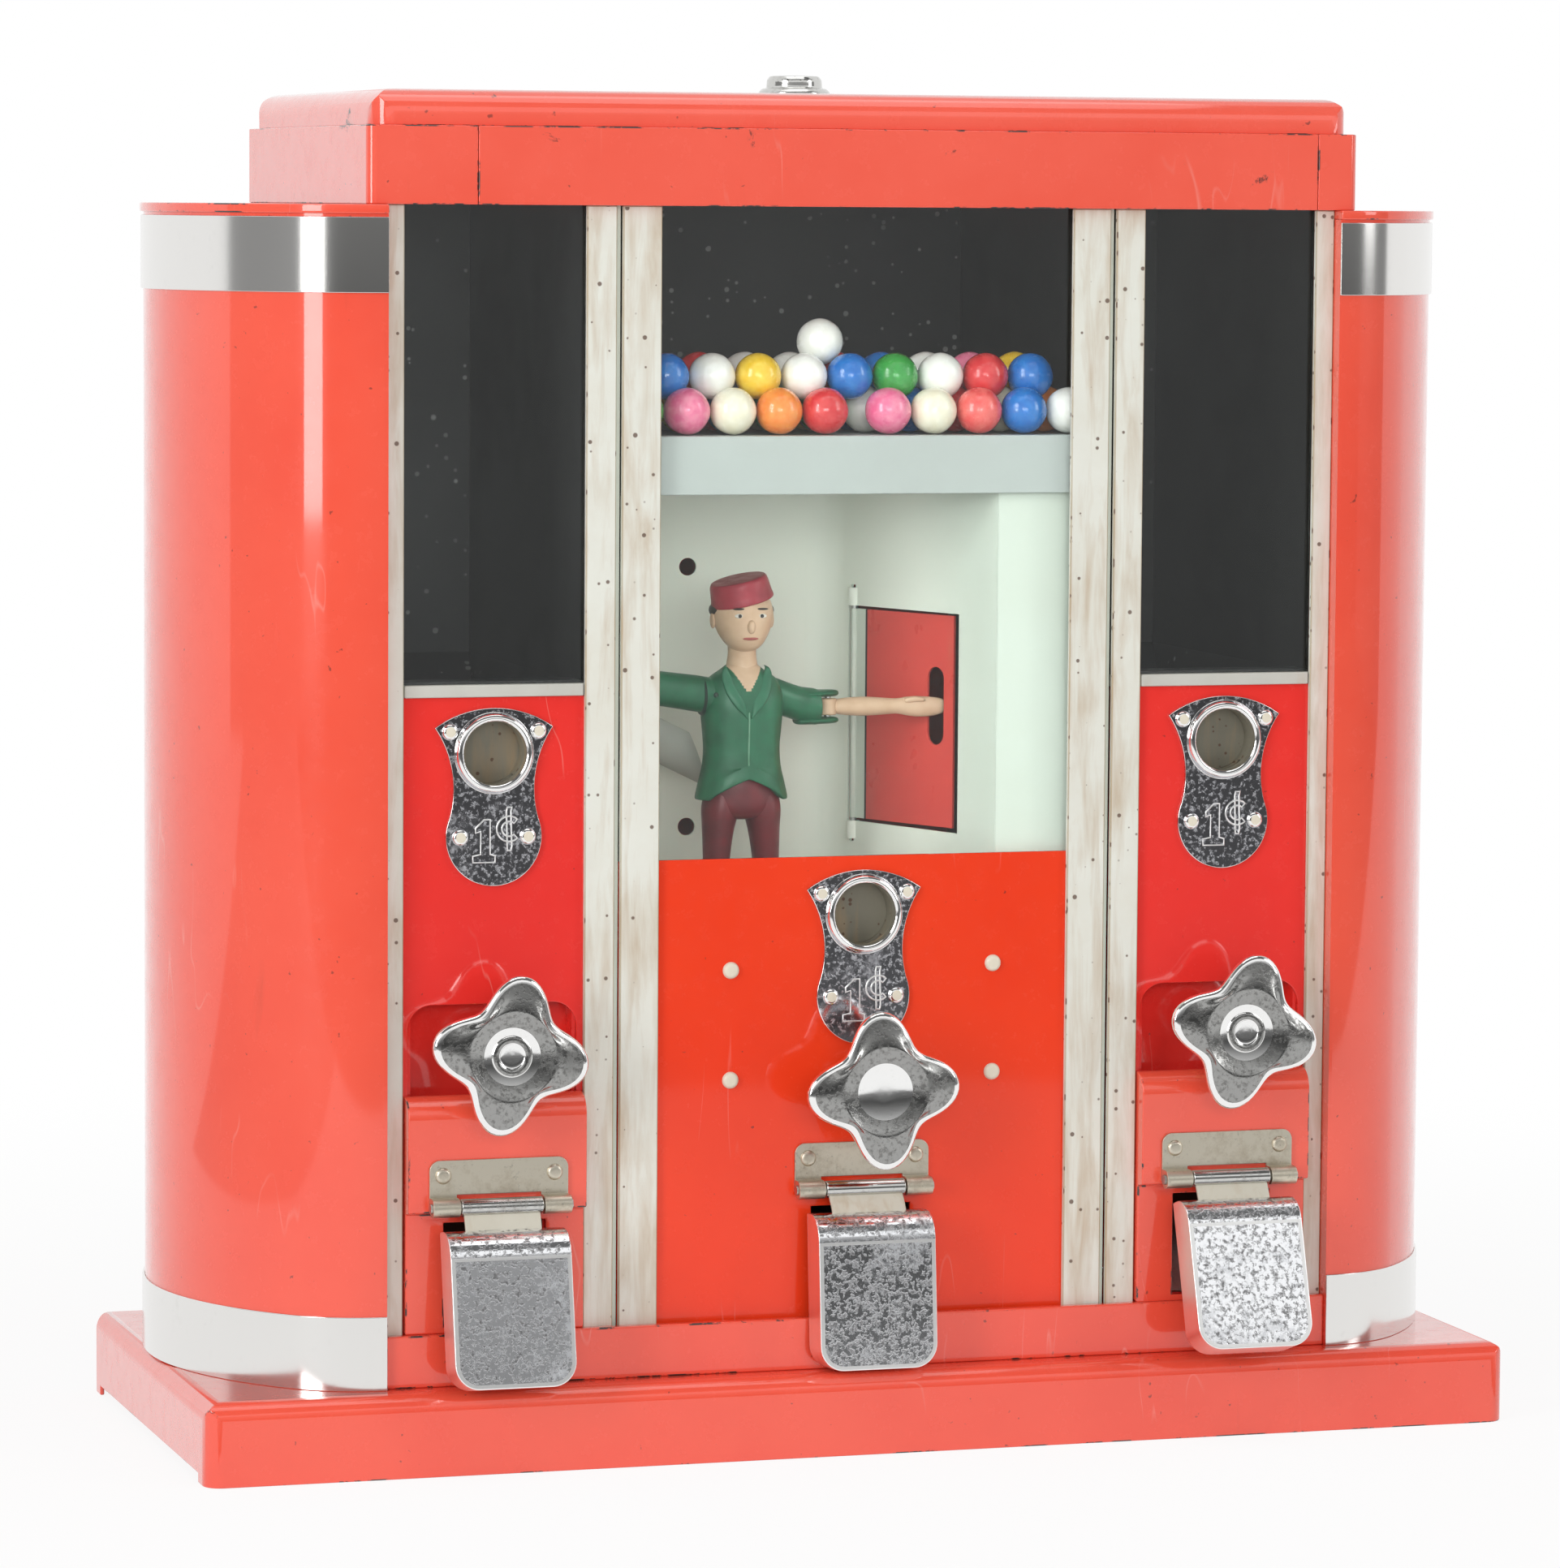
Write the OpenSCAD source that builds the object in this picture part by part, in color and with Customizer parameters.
// Counter-top triple penny vending machine.
// X runs to the right, Y to the back, Z up. The columns are laid out from the
// front face of the window strips, which is the local plane y = 0.

/* [Base] */
// Width of the base pan
base_w = 446; // [446:1:480]
// Depth of the base pan
base_d = 182; // [176:1:220]
// Height of the base pan
base_h = 27; // [22:1:40]
// Radius of the base pan's top and corner edges
base_edge_r = 6; // [4:0.5:8]
// Thickness of the base pan's sheet
base_sheet = 1.5; // [1:0.1:2]
// How far the side skirts are cut up between the corners
skirt_lift = 3; // [1:0.5:6]
// Ledge of the base in front of the rail
base_ledge = 12; // [11:0.5:24]

/* [Cabinet] */
// Height of the cabinet from the base to the header
body_h = 379; // [360:1:420]
// Depth from the strips' front to the back panel's outside
body_d = 166; // [160:1:190]
// Thickness of the cabinet's sheet
sheet = 1.2; // [0.8:0.1:1.6]
// Height of the front rail
rail_h = 17; // [12:1:17]
// How far the rail stands proud of the strips
rail_proud = 4; // [3:0.5:5]

/* [Columns] */
// Width of the centre window
center_win_w = 140; // [136:1:160]
// Width of the side windows
side_win_w = 60; // [58:1:70]
// Width of the strips beside the centre window
center_strip_w = 13; // [12:0.5:16]
// Width of the strips on the inner edge of the side windows
inner_strip_w = 10; // [8:0.5:14]
// Width of the strips on the outer edge of the side windows
outer_strip_w = 6.5; // [5:0.5:9]
// Gap between neighbouring strips, over the partition
strip_gap = 2; // [1.6:0.1:3]
// Thickness of the strips
strip_t = 2; // [1.5:0.1:3]
// Thickness of the glass
glass_t = 2; // [1.5:0.1:3]

/* [Covers] */
// How far each end cover stands out from the outer strip
cover_w = 59; // [48:0.5:59]
// How far the end covers stand in front of the strips
cover_proud = 5.5; // [3:0.5:10]
// Radius of the end covers' front and rear bends
cover_bend_r = 40; // [30:1:44]
// Height of the bright bands
band_h = 24; // [15:1:35]
// Thickness of the bright bands
band_t = 0.8; // [0.5:0.1:1.2]
// Thickness of the cap plates on the end covers
cap_t = 3; // [2:0.5:5]
// Rim of the cap plates outside the covers
cap_rim = 1.2; // [1:0.1:2]

/* [Header] */
// Height of the header band
header_h = 25; // [22:1:40]
// Overhang of the header past the outer strips
header_over = 6.5; // [4:0.5:12]
// How far the header stands in front of the strips
header_proud = 4; // [3:0.5:8]
// Overhang of the header past the back panel
header_back = 4; // [2:0.5:8]
// Reach of the left wrap onto the front
wrap_left = 36; // [20:1:60]
// Reach of the right wrap onto the front
wrap_right = 14; // [10:1:60]
// Height of the lid
lid_h = 11.5; // [10:0.5:20]
// Inset of the lid from the header band
lid_inset = 2; // [1:0.5:4]
// Radius of the lid's edges
lid_edge_r = 8; // [4:0.5:9]
// Place of the lock behind the strips
lock_back = 84; // [75:1:110]
// Radius of the lock's flange
lock_flange_r = 12; // [11:0.5:14]
// Radius of the lock's plug
lock_plug_r = 5; // [4:0.5:6]

/* [Panels] */
// Height of the side panels above the base
side_panel_h = 222; // [216:1:240]
// Height of the sill bars on the side panels
sill_h = 4; // [3:0.5:8]
// Height of the centre panel above the base
center_panel_h = 168; // [166:1:175]
// Thickness of the panels
panel_t = 1.5; // [1:0.1:2]
// Half spacing of the centre panel's rivets across
panel_rivet_x = 45; // [30:1:60]
// Lower and upper rows of the centre panel's rivets above the base
panel_rivet_rows = [95.5, 131.5];
// Lower edge of the side panels' recess above the base
recess_low = 85; // [80:1:90]
// Upper edge of the side panels' recess above the base
recess_high = 123; // [118:1:124]
// Radius of the recess's upper corners
recess_r = 8; // [3:0.5:12]

/* [Coin plates] */
// Drop of the side coin plates' ring below the side panels' top
side_coin_drop = 18; // [17:0.5:24]
// Drop of the centre coin plate's ring below the centre panel's top
center_coin_drop = 19; // [18:0.5:21]
// Radius of the coin recess, for a 19 mm coin
coin_r = 10.25; // [9.8:0.05:10.8]
// Depth of the coin recess behind the panel
coin_cup_d = 6; // [4:0.5:7]
// Thickness of the coin plates
plate_t = 1.2; // [0.8:0.1:2]

/* [Knobs] */
// Height of the side knobs' shafts above the base
side_knob_up = 109; // [107:0.5:110]
// Height of the centre knob's shaft above the base
center_knob_up = 93.5; // [92:0.5:94.5]
// Radius to the tips of a knob's lobes
knob_tip_r = 26; // [22:0.5:27]
// Radius to a knob's waists
knob_waist_r = 17.5; // [14:0.5:20]
// Thickness of a knob
knob_t = 8; // [6:0.5:9]
// How far the knobs stand in front of the strips
knob_reach = 25; // [24:0.5:30]
// Turn of the left, centre and right knobs at rest, clockwise
knob_turns = [10, -3, 13];
// Radius of the knobs' shafts
shaft_r = 4; // [3:0.5:5]

/* [Vending drums] */
// Radius of the pocketed drums
drum_r = 21; // [18:0.5:22]
// Length of the drums
drum_l = 35; // [30:1:40]
// Radius of a drum's pockets
pocket_r = 8; // [5:0.5:9]

/* [Flaps] */
// Width of the delivery flaps
flap_w = 40; // [36:1:44]
// Height of the delivery flaps
flap_h = 51; // [40:1:51]
// Depth of the flaps' side walls
flap_d = 13; // [8:0.5:13]
// Radius of the flaps' lower corners
flap_corner_r = 8; // [4:0.5:12]
// Thickness of the flaps
flap_t = 1.2; // [0.8:0.1:1.6]
// Height of the side flaps' pins above the base
side_pin_up = 59; // [56.5:0.5:60]
// Height of the centre flap's pin above the base
center_pin_up = 59; // [58.5:0.5:60]
// Turn of the left, centre and right flaps at rest, outwards
flap_turns = [11, 5, 18];
// Radius of the flaps' hinge pins
pin_r = 1.6; // [1.2:0.1:2]
// Width of the hinge brackets
bracket_w = 46; // [44:1:52]
// Width of the delivery openings
mouth_w = 34; // [28:1:35]

/* [Theatre] */
// Thickness of the theatre's sheet
stage_t = 1; // [0.8:0.1:1.4]
// Height of the stage floor above the base
stage_up = 141; // [139:0.5:142]
// Distance of the stage's back wall behind the strips
stage_back = 93; // [92:0.5:96]
// Start of the stage corner's bend from the middle
stage_bend_x = 7.7; // [6:0.1:9]
// Radius of the stage corner's bend
stage_bend_r = 12; // [10:0.5:14]
// Height of the gum tray's floor above the base
tray_up = 305; // [300:1:315]
// Height of the gum tray's front flange
tray_lip = 19; // [10:1:25]
// Diameter of the gumballs
ball_d = 15.5; // [14:0.1:15.6]
// Height of the doorway above the stage floor
door_up = 32; // [30:1:40]
// Height of the door
door_h = 71; // [60:1:75]
// Width of the door
door_w = 50; // [46:0.5:52]
// Turn of the door behind its wall at rest
door_ajar = 4; // [2:0.5:6]
// Distance of the figure's spindle from the middle
figure_x = -30; // [-31:0.5:-29]
// Height of the figure
figure_h = 115; // [112:1:122]
// Length of the figure's upper arm
arm_l = 32; // [31:0.5:33]
// Length of the figure's forearm
forearm_l = 31.1; // [30:0.1:31.4]

/* [Drive] */
// Module of the rack, pinion and spindle gear
tooth_m = 1.5; // [1.4:0.02:1.56]
// Teeth on the pinion
pinion_teeth = 10; // [10:1:10]
// Teeth on the spindle gear
gear_teeth = 30; // [30:1:30]
// Face width of the gears
gear_t = 7; // [5:0.5:7.5]
// Radius of the figure's spindle
spindle_r = 3; // [2.5:0.1:3.5]

/* [Clearances] */
// Radial clearance of turning fits
run_gap = 0.05; // [0.02:0.01:0.1]
// Clearance between parts that pass each other
pass_gap = 0.4; // [0.3:0.05:0.6]
// Thinning of each gear tooth for backlash
backlash = 0.3; // [0.2:0.02:0.4]

/* [Hidden] */
$fn = 64;

// Columns, as distances from the middle
strip_1 = center_win_w / 2;
strip_1_end = strip_1 + center_strip_w;
strip_2 = strip_1_end + strip_gap;
strip_2_end = strip_2 + inner_strip_w;
strip_3 = strip_2_end + side_win_w;
outer_x = strip_3 + outer_strip_w;
side_x = (strip_2_end + strip_3) / 2;
partition_x = strip_1_end + (strip_gap - sheet) / 2;

// Levels
floor_z = base_h;
rail_top = floor_z + rail_h;
body_top = floor_z + body_h;
header_top = body_top + header_h;
lid_top = header_top + lid_h;
side_panel_top = floor_z + side_panel_h;
sill_top = side_panel_top + sill_h;
center_panel_top = floor_z + center_panel_h;
side_knob_z = floor_z + side_knob_up;
center_knob_z = floor_z + center_knob_up;
side_coin_z = side_panel_top - side_coin_drop;
center_coin_z = center_panel_top - center_coin_drop;
side_pin_z = floor_z + side_pin_up;
center_pin_z = floor_z + center_pin_up;
stage_z = floor_z + stage_up;
tray_z = floor_z + tray_up;
arm_z = stage_z + 0.63 * figure_h;

// Depths behind the strips' front
panel_y = strip_t;
panel_back = panel_y + panel_t;
glass_back = strip_t + glass_t;
base_front = -(rail_proud + base_ledge);
rear_edge_r = 2;

// End cover plan: a small bend at each end and a wide flank between them
flank_half = (body_d + cover_proud) / 2;
flank_mid = body_d - flank_half;
bend_end = 2 * atan((cover_w - cover_bend_r) / (flank_half - cover_bend_r));
flank_r = cover_bend_r + (flank_half - cover_bend_r) / sin(bend_end);
bend_front = [outer_x, -cover_proud + cover_bend_r];
bend_rear = [outer_x, body_d - cover_bend_r];
flank_c = [outer_x - (flank_r - cover_bend_r) * cos(bend_end), flank_mid];
cover_top = body_top - cap_t;
band_lip = 1;

// Header
header_x = outer_x + header_over;
header_flange = 12;
header_corner_r = 3;
lid_skirt = 6;
lock_rise = 7;
lock_barrel_r = 9;
lock_barrel_drop = 17;
cam_l = 26;
cam_w = 10;
cam_t = 2.5;
keeper_x = 16;
keeper_w = 12;
keeper_drop = 10;

// Side mechanism
chute_face = -6;
chute_step = -2;
chute_step_z = side_pin_z - 3;
shoulder_z = floor_z + 94;
box_half = side_win_w / 2 - 2;
box_front = 11;
box_plate = 1.5;
box_back = box_front + 2 * box_plate + drum_l + 3;
box_top = side_knob_z + 26.5;
box_low = side_knob_z - 26;
drum_y = box_front + box_plate + 1.5;
mouth_low = rail_top + 2;
mouth_high = side_pin_z - 6;
hopper_half = side_win_w / 2 + 1;
hopper_back = 152;
hopper_sheet = 0.8;
throat_half = 13;
throat_front = drum_y + 4;
throat_back = drum_y + drum_l - 4;
cup_wall = 0.8;
coin_chute_w = 2 * coin_r + 3;
coin_chute_d = 5;

// Coin plate outline
plate_head_r = 34;
plate_head_drop = 19.5;
plate_half = 19.8;
plate_waist_r = 34.9;
plate_waist_x = plate_waist_r + 13.4;
plate_waist_drop = 11.5;
plate_foot_drop = 27;
plate_foot_reach = norm([plate_waist_x, plate_foot_drop - plate_waist_drop]);
plate_foot_r = plate_foot_reach - plate_waist_r + 0.06;
plate_foot_top = plate_foot_drop - plate_foot_r * (plate_foot_drop - plate_waist_drop) / plate_foot_reach;
ring_w = 2.75;
ring_h = 2.3;

// Gum funnel and cash tray
center_chute_drop = 20;
center_chute_back = 60;
funnel_depth = 20;
funnel_x = 62;
funnel_front = 62;
funnel_back = 92;
funnel_rise = 12;
chute_sheet = 1;
cash_front = 98;
cash_side = 4;
cash_h = 45;

// Flaps
flap_out = [10, 13, 10];
pin_out = 4;
knuckle_r = 2.8;
ear_r = 3;
bracket_t = 1.2;
bracket_h = 15;
ear_w = (bracket_w - 28) / 2;
knuckle_half = bracket_w / 2 - ear_w - pass_gap;
flap_drop = 7.5;

// Hinges of the flaps: x, face, pin height
hinge_places = [[-side_x, chute_face, side_pin_z], [0, panel_y, center_pin_z], [side_x, chute_face, side_pin_z]];
function pin_y(p) = p[1] - pin_out;
function flap_reach(i) = -pin_y(hinge_places[i]) + flap_out[i] * cos(flap_turns[i])
    + (flap_drop + flap_h) * sin(flap_turns[i]);
front_reach = max(knob_reach, flap_reach(0), flap_reach(1), flap_reach(2));
front_y = -(body_d + header_back - front_reach) / 2;

// Theatre
wall_turn = 70;
wall_dir = [cos(wall_turn), -sin(wall_turn)];
wall_out = [sin(wall_turn), cos(wall_turn)];
bend_c = [stage_bend_x, stage_back - stage_bend_r];
wall_start = bend_c + (stage_bend_r + stage_t / 2) * wall_out;
door_pin_at = 5.4;
door_pin = wall_start + door_pin_at * wall_dir;
wall_front_y = 8;
wall_l = (wall_start[1] - wall_front_y) / sin(wall_turn);
wall_end = wall_start + wall_l * wall_dir;
stage_x = partition_x - pass_gap;
door_z = stage_z + door_up;
door_pin_r = 1.2;
door_knuckle_r = 2.2;
door_room = 7;
slot_at = 41.3;
peg_r = 1.3;
peg_l = 9;
slot_w = 8;
slot_h = 26;
gear_r = tooth_m * gear_teeth / 2;
pinion_r = tooth_m * pinion_teeth / 2;
rack_front = 10;
rack_pitch_y = rack_front + 9.5;
rack_pitch_z = center_knob_z + pinion_r;
figure_y = rack_pitch_y + gear_r;
rack_addendum = 0.8;
tooth_addendum = 0.8 * tooth_m;
rack_root = 1.9;
rack_top = rack_pitch_z + rack_root + 7.6;
rack_left = -74;
rack_right = 52;
rack_travel = pinion_r * PI / 2;
gear_low = rack_top - gear_t;
arm_start = 10;
forearm_angle = -7.6;
elbow = [figure_x + arm_l * cos(arm_start), figure_y + arm_l * sin(arm_start)];
elbow_pin_r = 1.1;
turntable_r = 20;
turntable_t = 2;
feet_z = stage_z + turntable_t + 0.5;
shaft_back_y = 26;

// Helpers
module at_front() { translate([0, front_y, 0]) children(); }

// A rectangle standing on y = 0 whose two upper corners are round
module topped(x, w, h, r0, r1) {
    translate([x + r0, 0]) square([w - r0 - r1, h]);
    translate([x, 0]) square([r0, h - r0]);
    translate([x + w - r1, 0]) square([r1, h - r1]);
    translate([x + r0, h - r0]) circle(r = r0);
    translate([x + w - r1, h - r1]) circle(r = r1);
}

// A slab with round corners and round upper edges; the rear edge has its own radius
module soft_slab(x, y, w, d, z, h, r, rear_r) translate([0, 0, z]) intersection() {
    linear_extrude(h) offset_rect(x, y, w, d, r);
    translate([0, y + d + 1, 0]) rotate([90, 0, 0]) linear_extrude(d + 2) topped(x, w, h, r, r);
    translate([x - 1, 0, 0]) rotate([90, 0, 90]) linear_extrude(w + 2) topped(y, d, h, r, rear_r);
}

// A box given by its lowest and highest corners
module span(low, high) { translate(low) cube(high - low); }

// A bar along X with a round section
module round_x(x0, x1, y, z, r) {
    translate([x0, y, z]) rotate([0, 90, 0]) cylinder(r = r, h = x1 - x0);
}

// A bar along Y with a round section
module round_y(x, y0, y1, z, r) {
    translate([x, y0, z]) rotate([-90, 0, 0]) cylinder(r = r, h = y1 - y0);
}

// A bent strip of wall around a centre, from angle a0 to a1
module bend(c, r, t, a0, a1, h) {
    translate([c[0], c[1], 0]) rotate([0, 0, a0])
        rotate_extrude(angle = a1 - a0) translate([r - t, 0]) square([t, h]);
}

// A slice of a disc around a centre, from angle a0 to a1
module slice(c, r, a0, a1) translate(c) intersection() {
    circle(r = r, $fn = 160);
    polygon([[0, 0], 2 * r * [cos(a0), sin(a0)], 2 * r * [cos((a0 + a1) / 2), sin((a0 + a1) / 2)],
        2 * r * [cos(a1), sin(a1)]]);
}

// The end cover's plan on the right side, moved outwards by off and cut off at x
module cover_plan(off, x) intersection() {
    union() {
        slice(bend_front, cover_bend_r + off, -90, -bend_end);
        slice(flank_c, flank_r + off, -bend_end, bend_end);
        slice(bend_rear, cover_bend_r + off, bend_end, 90);
    }
    translate([x, -body_d]) square([base_w, 3 * body_d]);
}

// The end cover's wall and its filled plate
module cover_wall(off, t, z, h) translate([0, 0, z]) linear_extrude(h) difference() {
    cover_plan(off, outer_x);
    cover_plan(off - t, outer_x - 1);
}
module cover_plate(off, z, h) translate([0, 0, z]) linear_extrude(h) cover_plan(off, outer_x);

// Involute gear outline of n teeth
function involute(rb, a) = rb * [cos(a) + a * PI / 180 * sin(a), sin(a) - a * PI / 180 * cos(a)];
function turn(p, a) = [p[0] * cos(a) - p[1] * sin(a), p[0] * sin(a) + p[1] * cos(a)];
function flip(p) = [p[0], -p[1]];
module gear_outline(n, add, ded) {
    r = tooth_m * n / 2;
    rb = r * cos(20);
    tip_a = sqrt(pow((r + add) / rb, 2) - 1) * 180 / PI;
    half = 90 / n + (tan(20) * 180 / PI - 20) - backlash / 2 / r * 180 / PI;
    steps = 5;
    polygon([for (i = [0:n - 1]) let(mid = i * 360 / n) each concat(
        [turn((r - ded) * [cos(half), -sin(half)], mid)],
        [for (k = [0:steps]) turn(turn(involute(rb, tip_a * k / steps), -half), mid)],
        [for (k = [steps:-1:0]) turn(turn(flip(involute(rb, tip_a * k / steps)), half), mid)],
        [turn((r - ded) * [cos(half), sin(half)], mid)])]);
}

// One rack tooth, pointing along +Y with its pitch line at y = 0
module rack_tooth() {
    half = PI * tooth_m / 4 - backlash / 2;
    polygon([[-half - rack_root * tan(20), -rack_root], [half + rack_root * tan(20), -rack_root],
        [half - rack_addendum * tan(20), rack_addendum], [-half + rack_addendum * tan(20), rack_addendum]]);
}

// Base pan, folded from sheet, with its side skirts cut up between the corners
module base_pan() color("tomato") difference() {
    soft_slab(-base_w / 2, base_front, base_w, base_d, 0, base_h, base_edge_r, rear_edge_r);
    translate([0, 0, -1])
        soft_slab(-base_w / 2 + base_sheet, base_front + base_sheet, base_w - 2 * base_sheet,
            base_d - 2 * base_sheet, 0, base_h - base_sheet + 1, base_edge_r - base_sheet, 0.5);
    for (sx = [-1, 1]) translate([sx * base_w / 2, 0, 0])
        span([-base_edge_r, base_front + 2 * base_edge_r, -1],
            [base_edge_r, base_front + base_d - 2 * base_edge_r, skirt_lift]);
}

// Front rail, a folded channel across the cabinet's foot
module front_rail() color("tomato") {
    span([-outer_x, -rail_proud, floor_z], [outer_x, -rail_proud + sheet, rail_top]);
    span([-outer_x, -rail_proud, rail_top - sheet], [outer_x, 0, rail_top]);
    span([-outer_x, -rail_proud, floor_z], [outer_x, 0, floor_z + sheet]);
}

// Flat back panel
module back_panel() color("firebrick")
    span([-outer_x, body_d - sheet, floor_z], [outer_x, body_d, body_top]);

// Walls between the three columns
module partitions() color("gainsboro") for (s = [-1, 1])
    translate([s * (partition_x + sheet / 2) - sheet / 2, strip_t, floor_z])
        cube([sheet, body_d - sheet - strip_t, body_h]);

// Rounded end covers with a return flange beside the outer strips
module end_cover() color("tomato") {
    cover_wall(0, sheet, floor_z, cover_top - floor_z);
    span([outer_x, -cover_proud, floor_z], [outer_x + sheet, strip_t, cover_top]);
}
module right_cover() end_cover();
module left_cover() mirror([1, 0, 0]) end_cover();

// Cap plates that close the end covers
module cover_caps() color("crimson") for (s = [0, 1]) mirror([s, 0, 0])
    cover_plate(cap_rim, cover_top, cap_t);

// Bright bands round the foot and the head of each cover
module bright_bands() color("silver") for (s = [0, 1]) mirror([s, 0, 0])
    for (z = [floor_z, cover_top - band_lip - band_h])
        cover_wall(band_t, band_t, z, band_h);

// Header ring with flanges turned in at its foot and its top
module header_ring() {
    module plan(inset) offset_rect(-header_x + inset, -header_proud + inset,
        2 * (header_x - inset), body_d + header_back + header_proud - 2 * inset,
        max(header_corner_r - inset, 0.5));
    module layer(z, h, inset) translate([0, 0, z]) linear_extrude(h) difference() {
        plan(0);
        plan(inset);
    }
    layer(body_top, sheet, header_flange);
    layer(body_top, header_h, sheet);
    layer(header_top - sheet, sheet, header_flange);
}

// A rectangle with round corners, from exact arcs
module offset_rect(x, y, w, d, r) {
    translate([x + r, y]) square([w - 2 * r, d]);
    translate([x, y + r]) square([w, d - 2 * r]);
    for (sx = [0, 1], sy = [0, 1])
        translate([x + r + sx * (w - 2 * r), y + r + sy * (d - 2 * r)]) circle(r = r);
}

// The front stretch of the header, between the two wraps
module front_stretch(gap) span(
    [-header_x + wrap_left + gap, -header_proud - 1, body_top - 1],
    [header_x - wrap_right - gap, header_flange + 1, header_top + 1]);
module header_front() color("tomato") intersection() {
    header_ring();
    front_stretch(0.15);
}
module header_wraps() color("tomato") difference() {
    header_ring();
    front_stretch(0);
}

// Painted strips that frame the three windows
module window_strips() color("lightgray") for (s = [0, 1]) mirror([s, 0, 0])
    for (x = [[strip_1, strip_1_end], [strip_2, strip_2_end], [strip_3, outer_x]])
        span([x[0], 0, floor_z], [x[1], strip_t, body_top]);

// Glass panes behind the strips
module side_glass() color("lightcyan", 0.35)
    span([strip_2 + pass_gap, strip_t, sill_top], [outer_x - pass_gap, glass_back, body_top]);
module right_glass() side_glass();
module left_glass() mirror([1, 0, 0]) side_glass();
module center_glass() color("lightcyan", 0.35)
    span([-stage_x, strip_t, center_panel_top], [stage_x, glass_back, body_top]);

// Side panel with the coin hole, the knob recess and the delivery opening
module side_panel() color("red") difference() {
    span([strip_2 + pass_gap, panel_y, floor_z], [outer_x - pass_gap, panel_back, side_panel_top]);
    translate([side_x, 0, 0]) {
        round_y(0, 0, panel_back + 1, side_coin_z, coin_r + cup_wall + run_gap);
        recess_cut();
        mouth_cut(mouth_low, mouth_high);
    }
}
module recess_cut() {
    half = side_win_w / 2 - 2;
    translate([0, panel_back + 1, 0]) rotate([90, 0, 0]) linear_extrude(panel_t + 2) {
        translate([-half, floor_z + recess_low])
            square([2 * half, recess_high - recess_low - recess_r]);
        translate([-half + recess_r, floor_z + recess_low])
            square([2 * (half - recess_r), recess_high - recess_low]);
        for (s = [-1, 1]) translate([s * (half - recess_r), floor_z + recess_high - recess_r])
            circle(r = recess_r);
    }
}
module mouth_cut(low, high) span([-mouth_w / 2, chute_face - 1, low], [mouth_w / 2, panel_back + 1, high]);
module right_panel() side_panel();
module left_panel() mirror([1, 0, 0]) side_panel();

// Flat centre panel with the coin hole, the shaft's bore and the delivery opening
module center_panel() color("orangered") difference() {
    span([-stage_x, panel_y, floor_z], [stage_x, panel_back, center_panel_top]);
    round_y(0, 0, panel_back + 1, center_coin_z, coin_r + cup_wall + run_gap);
    round_y(0, 0, panel_back + 1, center_knob_z, shaft_r + run_gap);
    mouth_cut(mouth_low, center_pin_z - 6);
}

// Sill bars that carry the side panes
module panel_sills() color("darkgray") for (s = [0, 1]) mirror([s, 0, 0]) {
    span([strip_2_end + pass_gap, 0.4, side_panel_top], [strip_3 - pass_gap, strip_t, sill_top]);
    span([strip_2 + pass_gap, strip_t, side_panel_top], [outer_x - pass_gap, glass_back + 1, sill_top]);
}

// Bulged housing in front of the side panel's delivery opening
module chute_section(inset) {
    r = panel_y - chute_face - 1 - inset;
    difference() {
        polygon([[panel_y, rail_top - inset], [chute_step + inset, rail_top - inset],
            [chute_step + inset, chute_step_z + inset], [chute_face + inset, chute_step_z + 1 + inset],
            [chute_face + inset, shoulder_z - inset], [panel_y, shoulder_z - inset]]);
        translate([chute_face + inset + r, shoulder_z - inset - r]) difference() {
            translate([-r - 1, 0]) square([r + 1, r + 1]);
            circle(r = r);
        }
    }
}
module chute_prism(w, inset)
    rotate([90, 0, 90]) translate([0, 0, -w / 2]) linear_extrude(w) chute_section(inset);
module chute_front() {
    half = side_win_w / 2 - pass_gap;
    color("tomato") translate([side_x, 0, 0]) difference() {
        chute_prism(2 * half, 0);
        translate([0, 0.01, 0]) chute_prism(2 * (half - sheet), sheet);
        mouth_cut(mouth_low, mouth_high);
    }
}
module right_chute_front() chute_front();
module left_chute_front() mirror([1, 0, 0]) chute_front();

// Box behind the recess that carries the drum, with its casing
module mechanism_box() color("red") translate([side_x, 0, 0]) difference() {
    union() {
        span([-box_half, box_front, box_low], [box_half, box_front + box_plate, box_top]);
        span([-box_half, box_back - box_plate, box_low], [box_half, box_back, box_top]);
        span([-box_half, panel_back, box_top - box_plate], [box_half, box_back, box_top]);
        for (s = [-1, 1]) translate([s * (box_half - sheet / 2) - sheet / 2, panel_back, box_low])
            cube([sheet, box_back - panel_back, box_top - box_low]);
        difference() {
            round_y(0, box_front + box_plate, box_back - box_plate, side_knob_z, drum_r + pass_gap + box_plate);
            round_y(0, box_front, box_back, side_knob_z, drum_r + pass_gap);
            span([-2 * drum_r, box_front, side_knob_z + drum_r * 0.7], [2 * drum_r, box_back, box_top + 1]);
        }
    }
    round_y(0, box_front - 1, box_back + 1, side_knob_z, shaft_r + run_gap);
    span([-throat_half, throat_front, box_low - 1], [throat_half, throat_back, side_knob_z]);
    span([-throat_half, throat_front, side_knob_z], [throat_half, throat_back, box_top + 1]);
    span([-coin_r - 1, panel_back + 1, box_top - 2 * box_plate],
        [coin_r + 1, panel_back + coin_chute_d - 1, box_top + 1]);
}
module right_mechanism_box() mechanism_box();
module left_mechanism_box() mirror([1, 0, 0]) mechanism_box();

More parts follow.
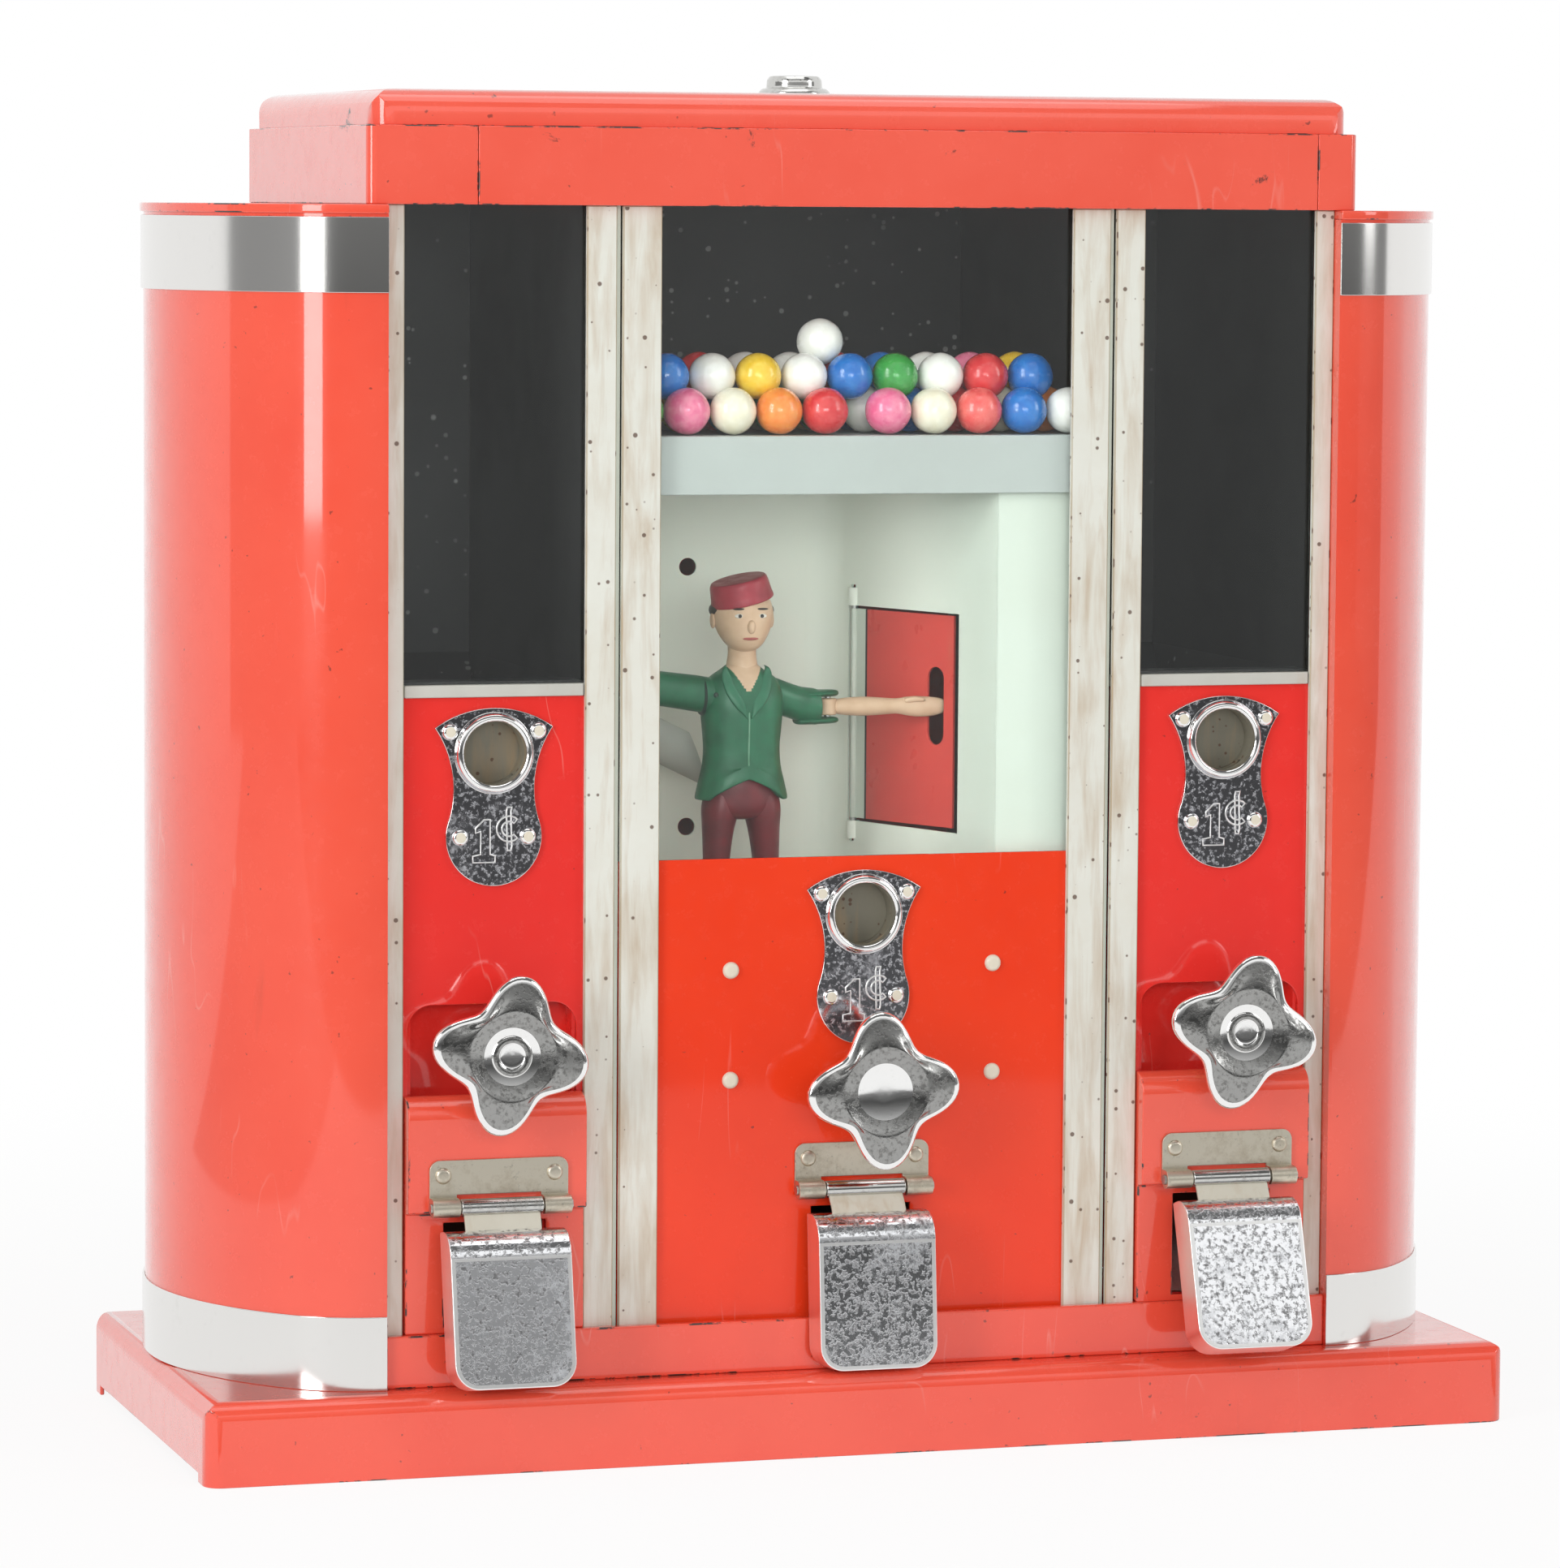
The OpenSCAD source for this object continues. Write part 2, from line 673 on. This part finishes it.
// Stage floor with the hangers for the shaft, the rack and the spindle
module stage_frame() color("gray") difference() {
    union() {
        span([-stage_x, panel_back, stage_z - sheet], [stage_x, hopper_back, stage_z]);
        span([-9, shaft_back_y - 0.5, center_knob_z - 12], [12, shaft_back_y + 1, stage_z - sheet]);
        for (x = [-60, 30])
            span([x, rack_front - 2, rack_pitch_z - 4], [x + 10, rack_pitch_y + 3.5, stage_z - sheet]);
        span([figure_x - 8, figure_y - 8, gear_low - 12], [figure_x + 8, figure_y + gear_r + 5.5, gear_low - 10]);
        span([figure_x - 8, figure_y + gear_r + 4, gear_low - 12],
            [figure_x + 8, figure_y + gear_r + 5.5, stage_z - sheet]);
    }
    round_y(0, 0, 2 * shaft_back_y, center_knob_z, shaft_r + run_gap);
    translate([figure_x, figure_y, 0]) cylinder(r = spindle_r + run_gap, h = 2 * stage_z);
    span([rack_left - 20, rack_front - pass_gap, rack_pitch_z - rack_addendum - pass_gap],
        [rack_right + 20, rack_pitch_y + rack_addendum + pass_gap, rack_top + pass_gap]);
    translate([ball_drop[0], ball_drop[1], stage_z - 5]) cylinder(r = ball_d / 2 + 2, h = 10);
    span([-coin_r - 3, 0, stage_z - 5], [coin_r + 3, panel_back + coin_cup_d + pass_gap, stage_z + 5]);
}
ball_drop = [-24, 77];

// Holes in the theatre's back wall, and the trough
wall_hole_x = -33.8;
wall_hole_r = 3;
wall_hole_up = [28.8, 116.8];
trough_r = 10;
trough_l = 59.7;
trough_up = 79.7;
trough_slope = 26;
trough_rim = 3.5;
trough_slant = 48;

// Coin plate with a fan head, a waist and a round foot
module coin_plate(x, z) color("silver") translate([x, panel_y, z]) rotate([90, 0, 0]) {
    linear_extrude(plate_t) difference() {
        union() {
            difference() {
                intersection() {
                    translate([0, -plate_head_drop]) circle(r = plate_head_r);
                    translate([-plate_half, -plate_head_r]) square([2 * plate_half, 2 * plate_head_r]);
                }
                for (s = [-1, 1]) translate([s * plate_waist_x, -plate_waist_drop]) circle(r = plate_waist_r);
                translate([-2 * plate_half, -plate_head_r - plate_foot_top])
                    square([4 * plate_half, plate_head_r]);
            }
            translate([0, -plate_foot_drop]) circle(r = plate_foot_r);
        }
        circle(r = coin_r);
    }
    rotate_extrude() polygon([[coin_r, 0], [coin_r + ring_w, 0], [coin_r + ring_w, plate_t + 0.15 * ring_h],
        [coin_r + 0.75 * ring_w, plate_t + 0.8 * ring_h], [coin_r + 0.35 * ring_w, plate_t + ring_h],
        [coin_r, plate_t + 0.7 * ring_h]]);
}
module left_coin_plate() coin_plate(-side_x, side_coin_z);
module center_coin_plate() coin_plate(0, center_coin_z);
module right_coin_plate() coin_plate(side_x, side_coin_z);

// Coin recesses behind the plates, each with a slot in its floor
coin_places = [[-side_x, side_coin_z], [0, center_coin_z], [side_x, side_coin_z]];
module coin_cups() color("dimgray") for (p = coin_places) translate([p[0], 0, p[1]]) difference() {
    round_y(0, panel_y, panel_back + coin_cup_d, 0, coin_r + cup_wall);
    round_y(0, panel_y - 1, panel_back + coin_cup_d - cup_wall, 0, coin_r);
    span([-coin_r + 1, panel_back + 0.6, -2 * coin_r], [coin_r - 1, panel_back + 3.4, -coin_r + 3]);
}

// Flat tubes that lead a coin down to the wheel on the shaft
module coin_chute(low, high) difference() {
    span([-coin_chute_w / 2, panel_back, low], [coin_chute_w / 2, panel_back + coin_chute_d, high]);
    span([-coin_r - 0.3, panel_back + 1, low - 1], [coin_r + 0.3, panel_back + coin_chute_d - 1, high + 1]);
}
module coin_chutes() color("darkgray") {
    for (s = [-1, 1]) translate([s * side_x, 0, 0])
        coin_chute(box_top, side_coin_z - coin_r - cup_wall - pass_gap);
    coin_chute(center_knob_z + 17 + pass_gap, center_coin_z - coin_r - cup_wall - pass_gap);
}

// Rivet heads on the plates, the centre panel and the hinge brackets
module rivet_head(r) intersection() {
    translate([0, 0, -r]) sphere(r = 1.6 * r);
    cylinder(r = r, h = r);
}
module rivet(x, y, z, r) translate([x, y, z]) rotate([90, 0, 0]) rivet_head(r);
module rivets() color("linen") {
    for (p = coin_places, s = [-1, 1]) {
        rivet(p[0] + s * 14.6, panel_y - plate_t, p[1] + 7, 2.2);
        rivet(p[0] + s * 11.2, panel_y - plate_t, p[1] - 27, 2.2);
    }
    for (s = [-1, 1], up = panel_rivet_rows) rivet(s * panel_rivet_x, panel_y, floor_z + up, 2.6);
    for (p = hinge_places, s = [-1, 1])
        rivet(p[0] + s * (bracket_w / 2 - 4.5), p[1] - bracket_t, p[2] + bracket_h - 5, 1.9);
}

// Hinge brackets, each a plate with two curled ears
module hinge_brackets() color("darkkhaki") for (p = hinge_places) translate([p[0], 0, p[2]]) difference() {
    union() {
        translate([0, p[1], 0]) rotate([90, 0, 0]) linear_extrude(bracket_t)
            offset_rect(-bracket_w / 2, knuckle_r + 1, bracket_w, bracket_h - knuckle_r - 1, 3.5);
        for (s = [-1, 1]) {
            x0 = s > 0 ? bracket_w / 2 - ear_w : -bracket_w / 2;
            span([x0, p[1] - bracket_t, -1], [x0 + ear_w, p[1], knuckle_r + 6]);
            span([x0, pin_y(p), 1], [x0 + ear_w, p[1], ear_r]);
            round_x(x0, x0 + ear_w, pin_y(p), 0, ear_r);
        }
    }
    round_x(-bracket_w, bracket_w, pin_y(p), 0, pin_r + run_gap);
}

// Fixed pins of the three flaps and of the door
module hinge_pins() color("lightslategray") {
    for (p = hinge_places)
        round_x(p[0] - bracket_w / 2 - 0.6, p[0] + bracket_w / 2 + 0.6, pin_y(p), p[2], pin_r);
    translate([door_pin[0], door_pin[1], door_z - 7]) cylinder(r = door_pin_r, h = door_h + 14);
}

// Side bins with a shelf behind the sill and a funnel down to the drum
hopper_front = glass_back + 1;
module bin_tub(inset) span(
    [-hopper_half + inset, hopper_front - inset, sill_top + inset],
    [hopper_half - inset, hopper_back - inset, body_top + (inset > 0 ? 1 : 0)]);
module bin_funnel(inset) {
    w = hopper_sheet;
    hull() {
        span([-hopper_half + inset, throat_front - 2 + inset, sill_top],
            [hopper_half - inset, hopper_back - inset, sill_top + 2 * w]);
        span([-throat_half + inset - w, throat_front + inset - w, box_top - (inset > 0 ? 1 : 0)],
            [throat_half - inset + w, throat_back - inset + w, box_top + w]);
    }
}
module hopper() color([0.07, 0.07, 0.07]) translate([side_x, 0, 0]) difference() {
    union() {
        bin_tub(0);
        bin_funnel(0);
    }
    bin_tub(hopper_sheet);
    bin_funnel(hopper_sheet);
}
module right_hopper() hopper();
module left_hopper() mirror([1, 0, 0]) hopper();

// Liner of the centre hopper, above the gum tray
module center_hopper() color([0.07, 0.07, 0.07]) difference() {
    span([-stage_x, glass_back + 1, tray_z], [stage_x, hopper_back, body_top]);
    span([-stage_x + hopper_sheet, 0, tray_z - 1], [stage_x - hopper_sheet, hopper_back - hopper_sheet, body_top + 1]);
}

// Gum tray with a front flange turned down behind the glass
tray_hole = [58, 118];
module gum_tray() color("silver") difference() {
    union() {
        span([-stage_x, glass_back + 0.6, tray_z - sheet], [stage_x, hopper_back, tray_z]);
        span([-stage_x, glass_back + 0.6, tray_z - tray_lip], [stage_x - 4, glass_back + 0.6 + sheet, tray_z]);
        span([-stage_x, glass_back + 0.6, tray_z - tray_lip], [stage_x - 4, glass_back + 4, tray_z - tray_lip + sheet]);
    }
    translate([tray_hole[0], tray_hole[1], tray_z - 5]) cylinder(r = ball_d / 2 + 2, h = 10);
}

// Gumballs, a first layer on the tray and a second in its hollows
ball_pitch = ball_d + 0.15;
ball_cols = floor(2 * (stage_x - hopper_sheet - 0.3) / ball_pitch);
module gumballs() color("pink") {
    for (layer = [0, 1], row = [0:2 - layer], col = [0:ball_cols - 1 - layer])
        translate([(col - (ball_cols - 1 - layer) / 2) * ball_pitch,
            glass_back + 1 + ball_d / 2 + 1 + (row + layer / 2) * ball_pitch,
            tray_z + ball_d / 2 + 0.05 + layer * ball_pitch / sqrt(2)])
            sphere(r = ball_d / 2);
}

// Bent backdrop of the theatre with the doorway and the door's lugs
module theatre_walls() color("honeydew") difference() {
    wall_h = tray_z - sheet - stage_z;
    union() {
        translate([0, 0, stage_z]) {
            span([-stage_x, stage_back, 0], [stage_bend_x, stage_back + stage_t, wall_h]);
            bend(bend_c, stage_bend_r + stage_t, stage_t, 90 - wall_turn, 90, wall_h);
            translate([wall_start[0], wall_start[1], 0]) rotate([0, 0, -wall_turn])
                span([0, -stage_t / 2, 0], [wall_l, stage_t / 2, wall_h]);
            span([wall_end[0] - stage_t / 2, wall_front_y, 0], [stage_x, wall_front_y + stage_t, wall_h]);
        }
        for (z = [door_z - 7, door_z + door_h + 1])
            translate([door_pin[0], door_pin[1], z]) cylinder(r = door_knuckle_r, h = 6);
    }
    translate([door_pin[0], door_pin[1], 0]) {
        for (z = [door_z - 8, door_z + door_h])
            translate([0, 0, z]) cylinder(r = door_pin_r + run_gap, h = 8);
        rotate([0, 0, -wall_turn])
            span([-door_knuckle_r - 0.5, -5, door_z - 1], [door_w + door_room, 5, door_z + door_h + 1]);
    }
    for (up = wall_hole_up)
        translate([wall_hole_x, stage_back - 1, stage_z + up]) rotate([-90, 0, 0]) cylinder(r = wall_hole_r, h = 4);
}

// Half-round chute that leads a ball down to the stage floor
module ball_chute() color("lightgray") {
    start = -partition_x + 0.2;
    wide = 2 * trough_r;
    translate([start, ball_drop[1] - 4, stage_z + trough_up]) rotate([0, trough_slope, 0]) difference() {
        rotate([0, 90, 0]) cylinder(r = trough_r, h = trough_l);
        translate([-1, 0, 0]) rotate([0, 90, 0]) cylinder(r = trough_r - chute_sheet, h = trough_l + 2);
        span([-1, -wide, trough_rim], [trough_l + 1, wide, wide]);
        rotate([0, -trough_slope, 0]) span([-2 * wide, -wide, -2 * wide], [0, wide, 2 * wide]);
        translate([trough_l, 0, -trough_r]) rotate([0, -trough_slant, 0])
            span([0, -wide, -wide], [2 * wide, wide, 2 * wide]);
    }
}

// Delivery chutes from the mechanisms down to the openings behind the flaps
module chute_tube(top, high, back) {
    rotate([90, 0, 90]) translate([0, 0, -mouth_w / 2 - 1]) difference() {
        linear_extrude(mouth_w + 2) polygon([[back, top], [12, top], [panel_back, high],
            [panel_back, mouth_low - 1], [panel_back + 2, mouth_low - 1], [back, top - 9]]);
        translate([0, 0, 1]) linear_extrude(mouth_w) polygon([[back - 1, top + 1], [13, top + 1],
            [panel_back + 0.8, high - 1], [0, high - 1], [0, mouth_low],
            [panel_back + 2.2, mouth_low], [back - 1, top - 8]]);
    }
}
module delivery_chutes() color("darkgray") {
    for (s = [-1, 1]) translate([s * side_x, 0, 0]) chute_tube(box_low, mouth_high + 1, box_back - 1);
    chute_tube(center_knob_z - center_chute_drop, center_pin_z - 5, center_chute_back);
    difference() {
        funnel_shell(0);
        funnel_shell(chute_sheet);
    }
}
module funnel_shell(inset) hull() {
    low = center_knob_z - center_chute_drop;
    high = low + funnel_rise;
    half = mouth_w / 2 + chute_sheet;
    more = inset > 0 ? 1 : 0;
    span([-half + inset, center_chute_back - funnel_depth + inset, low - more],
        [half - inset, center_chute_back - inset, low + chute_sheet]);
    span([-funnel_x + inset, funnel_front + inset, high], [-inset, funnel_back - inset, high + 2 * chute_sheet + more]);
}

// Open tray for the coins, on the base behind the chutes
module cash_tray() color("gray") difference() {
    half = stage_x - cash_side;
    span([-half, cash_front, floor_z], [half, hopper_back, floor_z + cash_h]);
    span([-half + chute_sheet, cash_front + chute_sheet, floor_z + chute_sheet],
        [half - chute_sheet, hopper_back - chute_sheet, floor_z + cash_h + 1]);
}

// Strap across the header that the lock's cam turns under
module lock_keeper() color("gray") {
    top = header_top - keeper_drop;
    span([keeper_x, 4, top - sheet], [keeper_x + keeper_w, body_d - 2, top]);
    for (y = [4, body_d - 2 - sheet])
        span([keeper_x, y, body_top + sheet], [keeper_x + keeper_w, y + sheet, top]);
}

// Four-lobed knob, dished in front, on a hub; the outline turns by a
knob_points = 96;
dish_depth = 3.2;
dish_rim = 14.2;
dish_r = (pow(dish_rim, 2) + pow(dish_depth, 2)) / (2 * dish_depth);
module knob_outline(inset, a) {
    mean = (knob_tip_r + knob_waist_r) / 2;
    swing = (knob_tip_r - knob_waist_r) / 2;
    polygon([for (i = [0:knob_points - 1]) let(t = i * 360 / knob_points)
        (mean - inset + swing * cos(4 * t)) * [cos(t + a), sin(t + a)]]);
}
module knob_blank(a) {
    translate([0, 0, 1]) linear_extrude(knob_t - 2.5) knob_outline(0, a);
    linear_extrude(knob_t) knob_outline(1.2, a);
    translate([0, 0, knob_t]) cylinder(r1 = 14, r2 = 8, h = 3);
    translate([0, 0, knob_t]) cylinder(r = 8, h = 8);
}
module knob(x, z, a, boss) color("silver") translate([x, -knob_reach, z]) rotate([-90, 0, 0]) {
    difference() {
        knob_blank(a);
        translate([0, 0, dish_depth - dish_r]) sphere(r = dish_r);
        translate([0, 0, 5]) cylinder(r = shaft_r + 0.02, h = knob_t + 10);
    }
    if (boss) difference() {
        translate([0, 0, 1.4]) cylinder(r = 6.5, h = 2.8);
        translate([0, 0, 1]) cylinder(r = 4.2, h = 1.4);
    }
}
module left_knob() knob(-side_x, side_knob_z, knob_turns[0], true);
module center_knob() knob(0, center_knob_z, knob_turns[1], false);
module right_knob() knob(side_x, side_knob_z, knob_turns[2], true);

// Shaft with a pocketed drum that carries the goods round
shaft_front = -knob_reach + 5 + pass_gap;
module drum(x) color("goldenrod") difference() {
    union() {
        round_y(x, shaft_front, box_back + 2, side_knob_z, shaft_r);
        round_y(x, drum_y, drum_y + drum_l, side_knob_z, drum_r);
    }
    for (a = [0:90:270]) translate([x, 0, side_knob_z]) rotate([0, a + 45, 0])
        round_y(0, throat_front, throat_back, drum_r, pocket_r);
}
module left_drum() drum(-side_x);
module right_drum() drum(side_x);

// Shaft of the centre knob with its coin wheel and its pinion
module center_shaft() color("goldenrod") {
    round_y(0, shaft_front, shaft_back_y + 3, center_knob_z, shaft_r);
    difference() {
        round_y(0, panel_back + 1, panel_back + 4, center_knob_z, 17);
        for (a = [0:90:270]) translate([0, 0, center_knob_z]) rotate([0, a, 0])
            round_y(0, 0, 20, 17, 6);
    }
    translate([0, rack_front, center_knob_z]) rotate([-90, 0, 0]) linear_extrude(gear_t)
        rotate(90 + 180 / pinion_teeth) gear_outline(pinion_teeth, tooth_addendum, 1.2);
}

// Sliding bar, toothed below for the pinion and behind for the spindle gear
module rack_bar() color("steelblue") {
    pitch = PI * tooth_m;
    span([rack_left, rack_front, rack_pitch_z + rack_root], [rack_right, rack_pitch_y - rack_root, rack_top]);
    for (i = [-4:2]) translate([i * pitch, rack_front, rack_pitch_z])
        rotate([-90, 0, 0]) linear_extrude(gear_t) rack_tooth();
    for (i = [-5:2]) translate([figure_x + i * pitch, rack_pitch_y, gear_low])
        linear_extrude(gear_t) rack_tooth();
}

// Gear, spindle and turntable under the figure
module spindle_gear() color("goldenrod") translate([figure_x, figure_y, 0]) {
    translate([0, 0, gear_low]) linear_extrude(gear_t)
        rotate(-90 + 180 / gear_teeth) gear_outline(gear_teeth, tooth_addendum, 1.2);
    translate([0, 0, gear_low - 14]) cylinder(r = spindle_r, h = feet_z - gear_low + 14 - turntable_t);
    translate([0, 0, stage_z + 0.5]) cylinder(r = turntable_r, h = turntable_t);
}

// Porter figure: boots, legs, jacket, head, cap, one arm out and one forked sleeve
module figure() color("seagreen") translate([figure_x, figure_y, feet_z]) {
    unit = figure_h / 100;
    hip = 37 * unit;
    shoulder = 72 * unit;
    sleeve = arm_z - feet_z;
    for (s = [-1, 1]) hull() {
        translate([s * 6.5, -3, 0]) cylinder(r = 5, h = 3, $fn = 24);
        translate([s * 6, 0, hip]) cylinder(r = 6.5, h = 1, $fn = 24);
    }
    hull() {
        for (s = [-1, 1]) {
            translate([s * 7, 0, hip - 2]) cylinder(r = 8, h = 2, $fn = 24);
            translate([s * 8, 0, shoulder - 5]) sphere(r = 6, $fn = 24);
        }
    }
    translate([0, 0, shoulder - 2]) cylinder(r = 4.5, h = 10);
    translate([0, -1, shoulder + 12 * unit]) sphere(r = 9.5);
    translate([0, -1, shoulder + 12 * unit]) cylinder(r = 9.2, h = figure_h - shoulder - 12 * unit);
    hull() {
        translate([-8, 0, sleeve]) sphere(r = 5, $fn = 24);
        translate([-34, -3, sleeve + 1]) sphere(r = 4.5, $fn = 24);
    }
    rotate([0, 0, arm_start]) translate([0, 0, sleeve]) {
        hull() {
            translate([8, 0, 0]) sphere(r = 5, $fn = 24);
            translate([arm_l - 9, 0, 0]) sphere(r = 5.2, $fn = 24);
        }
        difference() {
            union() for (z = [-5, 3.2]) {
                translate([arm_l - 9, -3.6, z]) cube([9, 7.2, 1.8]);
                translate([arm_l, 0, z]) cylinder(r = 3.6, h = 1.8);
            }
            translate([arm_l, 0, -10]) cylinder(r = elbow_pin_r + 0.02, h = 20);
        }
    }
}

// Pin through the figure's forked sleeve
module elbow_pin() color("silver")
    translate([elbow[0], elbow[1], arm_z - 5.4]) cylinder(r = elbow_pin_r, h = 10.8);

// Forearm on the elbow pin, with its hand at the door's slot
module forearm() color("wheat") translate([elbow[0], elbow[1], arm_z]) rotate([0, 0, forearm_angle])
    difference() {
        union() {
            translate([0, 0, -2.8]) cylinder(r = 3.2, h = 5.6);
            translate([forearm_l - 4, 0, 0]) rotate([0, 90, 0]) cylinder(r = peg_r, h = peg_l + 4);
            hull() {
                translate([4, 0, 0]) sphere(r = 2.8, $fn = 24);
                translate([forearm_l - 2.4, 0, 0]) sphere(r = 2.4, $fn = 24);
            }
        }
        translate([0, 0, -10]) cylinder(r = elbow_pin_r + run_gap, h = 20);
    }

// Door on its knuckle, with a tall slot for the figure's hand
module door() color("crimson") translate([door_pin[0], door_pin[1], door_z]) rotate([0, 0, door_ajar - wall_turn])
    difference() {
        union() {
            cylinder(r = door_knuckle_r, h = door_h);
            span([0, -stage_t / 2, 0], [door_w, stage_t / 2, door_h]);
        }
        translate([0, 0, -1]) cylinder(r = door_pin_r + run_gap, h = door_h + 2);
        translate([slot_at, 0, arm_z - door_z]) rotate([90, 0, 0]) linear_extrude(4, center = true)
            offset_rect(-slot_w / 2, -slot_h / 2, slot_w, slot_h, slot_w / 2 - 0.1);
    }

// Delivery flap, drawn about its pin: a dished cover on a tab and a knuckle
flap_roll = 9;
module flap_face(inset) translate([-flap_w / 2 + inset, -flap_drop - flap_h + inset]) {
    w = flap_w - 2 * inset;
    h = flap_h - 2 * inset;
    r = flap_corner_r - inset;
    translate([r, 0]) square([w - 2 * r, h]);
    translate([0, r]) square([w, h - r]);
    for (s = [0, 1]) translate([r + s * (w - 2 * r), r]) circle(r = r);
}
module flap_side(front, inset) {
    top = -flap_drop;
    translate([front + inset, top - flap_h - 1]) square([flap_d + 1 - inset, flap_h + 1 - flap_roll]);
    translate([front + flap_roll, top - flap_h]) square([flap_d + 1 - flap_roll, flap_h - inset]);
    translate([front + flap_roll, top - flap_roll]) circle(r = flap_roll - inset);
}
module flap_body(front, inset) intersection() {
    translate([0, front + flap_d + (inset > 0 ? 0.5 : 0), 0]) rotate([90, 0, 0])
        linear_extrude(flap_d + 1) flap_face(inset);
    translate([-flap_w, 0, 0]) rotate([90, 0, 90]) linear_extrude(2 * flap_w) flap_side(front, inset);
}
module flap_tab(front) hull() {
    half = knuckle_half - 1;
    span([-half, -1, -0.6], [half, 1, 0.6]);
    span([-half, front + flap_d - 6, -flap_drop - flap_t], [half, front + flap_d - 3, -flap_drop]);
}
module flap(i) color("silver") translate([hinge_places[i][0], pin_y(hinge_places[i]), hinge_places[i][2]])
    rotate([-flap_turns[i], 0, 0]) difference() {
        union() {
            difference() {
                flap_body(-flap_out[i], 0);
                flap_body(-flap_out[i], flap_t);
            }
            flap_tab(-flap_out[i]);
            round_x(-knuckle_half, knuckle_half, 0, 0, knuckle_r);
        }
        round_x(-flap_w, flap_w, 0, 0, pin_r + run_gap);
    }
module left_flap() flap(0);
module center_flap() flap(1);
module right_flap() flap(2);

// Lift-off lid with a turned-in rim that drops inside the header
module lid() color("tomato") difference() {
    x = header_x - lid_inset;
    y = -header_proud + lid_inset;
    d = body_d + header_back + header_proud - 2 * lid_inset;
    rim = header_flange + pass_gap - lid_inset;
    union() {
        difference() {
            soft_slab(-x, y, 2 * x, d, header_top, lid_h, lid_edge_r, lid_edge_r);
            translate([0, 0, -1]) soft_slab(-x + sheet, y + sheet, 2 * (x - sheet), d - 2 * sheet,
                header_top, lid_h - sheet + 1, lid_edge_r - sheet, lid_edge_r - sheet);
        }
        difference() {
            span([-x + sheet / 2, y + lid_edge_r, header_top], [x - sheet / 2, y + d - lid_edge_r, header_top + sheet]);
            span([-x + rim + sheet, y + lid_edge_r + 4, header_top - 1],
                [x - rim - sheet, y + d - lid_edge_r - 4, header_top + sheet + 1]);
        }
        for (s = [-1, 1]) translate([s * (x - rim - sheet / 2) - sheet / 2, y + rim, header_top - lid_skirt])
            cube([sheet, d - 2 * rim, lid_skirt + sheet]);
    }
    translate([0, lock_back, header_top - 1]) cylinder(r = lock_barrel_r + 0.1, h = lid_h + 2);
}

// Stepped lock body, fixed in the lid
module lock_body() color("silver") translate([0, lock_back, lid_top]) difference() {
    union() {
        rotate_extrude() polygon([[0, 0], [lock_flange_r, 0], [lock_flange_r, 1.6], [lock_flange_r - 1.2, 2.8],
            [9.4, 3], [9.2, 5.6], [8.2, lock_rise], [0, lock_rise]]);
        translate([0, 0, -lock_barrel_drop]) cylinder(r = lock_barrel_r, h = lock_barrel_drop);
    }
    translate([0, 0, -lock_barrel_drop - 1]) cylinder(r = lock_plug_r + run_gap, h = 2 * lock_barrel_drop);
}

// Turning plug with a key slot above and a cam below
module lock_plug() color("gold") translate([0, lock_back, lid_top]) {
    cam_top = header_top - keeper_drop - sheet - 1.5 - lid_top;
    difference() {
        translate([0, 0, cam_top - cam_t]) cylinder(r = lock_plug_r, h = lock_rise - 1 - cam_top + cam_t);
        span([-0.7, -3.5, lock_rise - 5], [0.7, 3.5, lock_rise]);
    }
    span([-cam_w / 2, -cam_l, cam_top - cam_t], [cam_w / 2, cam_w / 2, cam_top]);
}

at_front() base_pan();
at_front() front_rail();
at_front() back_panel();
at_front() partitions();
at_front() left_cover();
at_front() right_cover();
at_front() cover_caps();
at_front() bright_bands();
at_front() header_front();
at_front() header_wraps();
at_front() window_strips();
at_front() left_glass();
at_front() center_glass();
at_front() right_glass();
at_front() left_panel();
at_front() center_panel();
at_front() right_panel();
at_front() panel_sills();
at_front() left_chute_front();
at_front() right_chute_front();
at_front() left_mechanism_box();
at_front() right_mechanism_box();
at_front() stage_frame();
at_front() left_coin_plate();
at_front() center_coin_plate();
at_front() right_coin_plate();
at_front() coin_cups();
at_front() coin_chutes();
at_front() rivets();
at_front() hinge_brackets();
at_front() hinge_pins();
at_front() left_hopper();
at_front() center_hopper();
at_front() right_hopper();
at_front() gum_tray();
at_front() gumballs();
at_front() theatre_walls();
at_front() ball_chute();
at_front() delivery_chutes();
at_front() cash_tray();
at_front() lock_keeper();
at_front() left_knob();
at_front() center_knob();
at_front() right_knob();
at_front() left_drum();
at_front() right_drum();
at_front() center_shaft();
at_front() rack_bar();
at_front() spindle_gear();
at_front() figure();
at_front() elbow_pin();
at_front() forearm();
at_front() door();
at_front() left_flap();
at_front() center_flap();
at_front() right_flap();
at_front() lid();
at_front() lock_body();
at_front() lock_plug();
